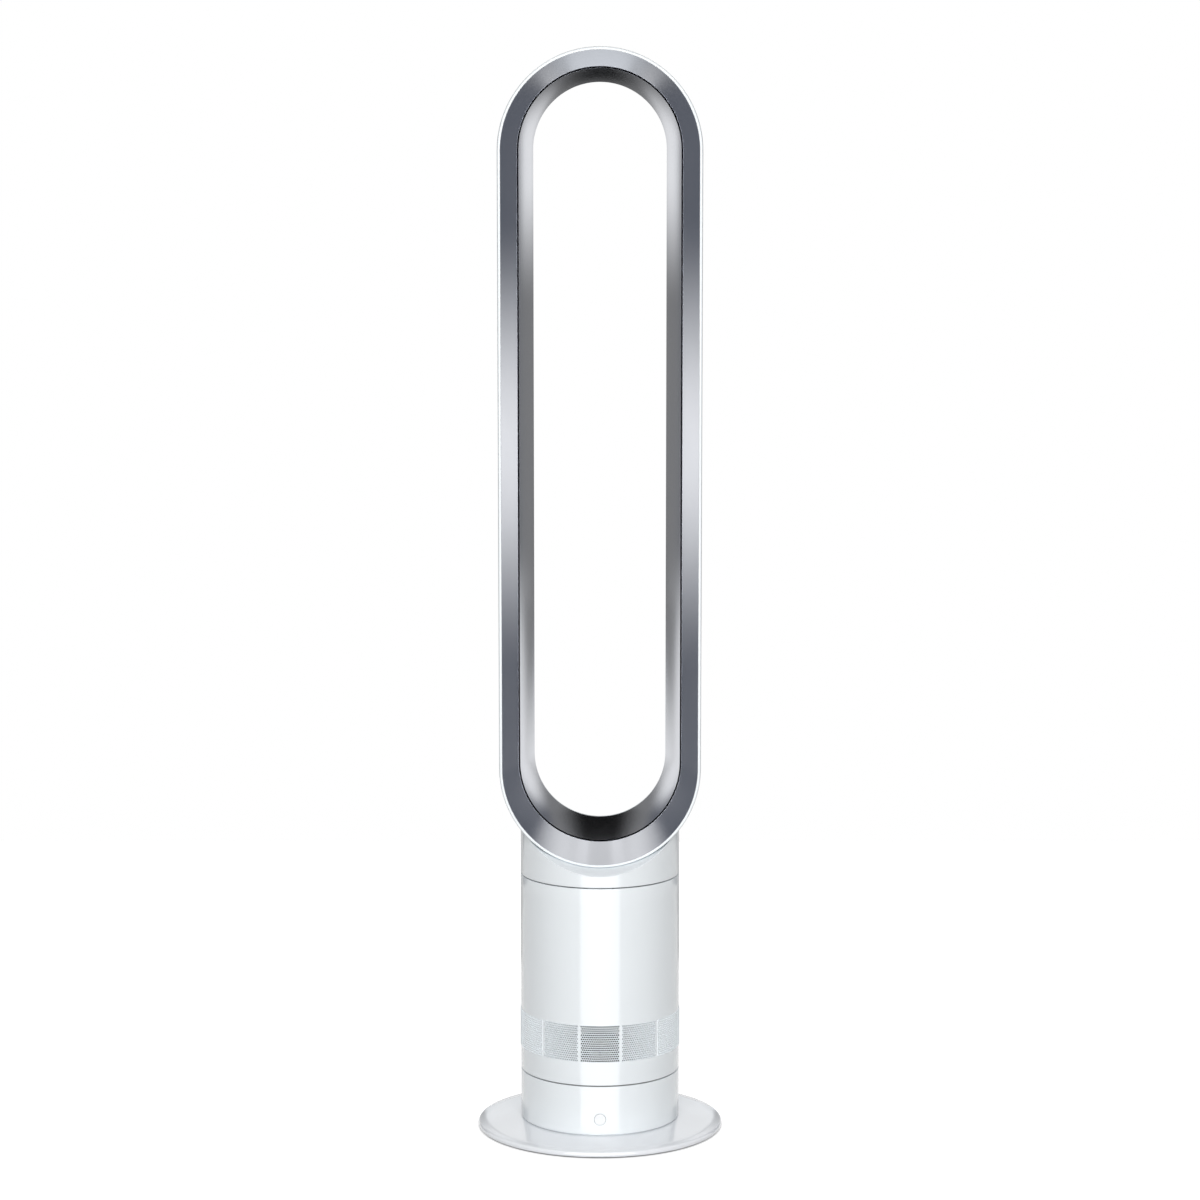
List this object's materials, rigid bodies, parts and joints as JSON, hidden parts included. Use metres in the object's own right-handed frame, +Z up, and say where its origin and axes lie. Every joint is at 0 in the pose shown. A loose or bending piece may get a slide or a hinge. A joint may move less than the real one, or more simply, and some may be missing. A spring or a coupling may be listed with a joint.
{
  "type": "bladeless fan",
  "caption": "Bladeless tower fan: tall hollow oval loop with a forward air slot on a round turning body with a perforated air inlet, over a fixed casing and round base plate.",
  "frame": {"origin": "on the ground under the middle of the round base plate", "axes": "+Z up, front of the fan faces -Y, +X to the right seen from the front"},
  "size_m": [0.23, 0.23, 1.0069],
  "materials": {
    "white_plastic": "gloss white moulding",
    "silver_finish": "satin silver paint on moulded plastic",
    "button_plastic": "satin silver moulding",
    "grey_plastic": "matte grey moulding",
    "gear_plastic": "natural slippery plastic",
    "dark_plastic": "matte dark moulding",
    "rubber": "soft dark rubber",
    "foam": "open-cell dark foam",
    "steel": "plain steel",
    "magnet": "sintered magnet",
    "winding": "enamelled copper winding",
    "board": "green circuit board",
    "board_black": "black moulded parts"
  },
  "bodies": {
    "base": {"base_plate": "white_plastic", "foot_pads": "rubber", "base_screws": "steel", "lower_casing": "white_plastic", "glide_ring": "gear_plastic", "hub_post": "grey_plastic", "hub_retainer": "steel", "hub_screws": "steel", "osc_motor": "dark_plastic", "osc_motor_screws": "steel", "main_board": "board", "board_parts": "board_black", "board_screws": "steel", "board_lead": "rubber", "cable_gland": "dark_plastic", "front_board": "board", "led_display": "board_black"},
    "head": {"turntable": "grey_plastic", "turntable_gear": "gear_plastic", "gear_screws": "steel", "body_screws": "steel", "body_shell": "white_plastic", "inlet_grille": "white_plastic", "intake_foam": "foam", "motor_deck": "grey_plastic", "isolators": "rubber", "inlet_seal": "rubber", "impeller_shroud": "grey_plastic", "motor_bucket": "grey_plastic", "bucket_screws": "steel", "motor_stator": "steel", "stator_coils": "winding", "motor_bearings": "steel", "motor_cover": "grey_plastic", "motor_lead": "rubber", "outlet_duct": "grey_plastic", "top_ring": "white_plastic", "top_screws": "steel", "duct_seal": "rubber", "neck_collar": "white_plastic", "neck_duct": "grey_plastic", "neck_screws": "steel", "loop_outer_shell": "white_plastic", "loop_front_trim": "silver_finish", "loop_inner_band": "silver_finish", "rim_seal": "rubber", "dock_magnets": "magnet"},
    "fan_rotor": {"impeller": "dark_plastic", "motor_shaft": "steel", "rotor_magnet": "magnet", "impeller_nut": "steel"},
    "pinion": {"drive_pinion": "gear_plastic", "pinion_shaft": "steel"},
    "button": {"power_button": "button_plastic", "switch_plunger": "board_black"}
  },
  "joints": [
    {"name": "oscillation", "type": "hinge", "parent": "base", "child": "head", "pos_m": [0, 0, 0.0605], "axis": [0, 0, 1], "range_deg": [-35, 35]},
    {"name": "impeller_spin", "type": "hinge", "parent": "head", "child": "fan_rotor", "pos_m": [0, 0, 0.155], "axis": [0, 0, 1], "continuous": true},
    {"name": "pinion_spin", "type": "hinge", "parent": "base", "child": "pinion", "pos_m": [-0.052, 0, 0.052], "axis": [0, 0, 1], "range_deg": [-192.6, 192.6]},
    {"name": "button_press", "type": "slide", "parent": "base", "child": "button", "axis": [0, 1, 0], "range_m": [0, 0.001], "stiffness_N_per_m": 2000, "springref_m": -0.0005}
  ],
  "couplings": [
    {"joint": "pinion_spin", "follows": "oscillation", "ratio": -5.5}
  ]
}
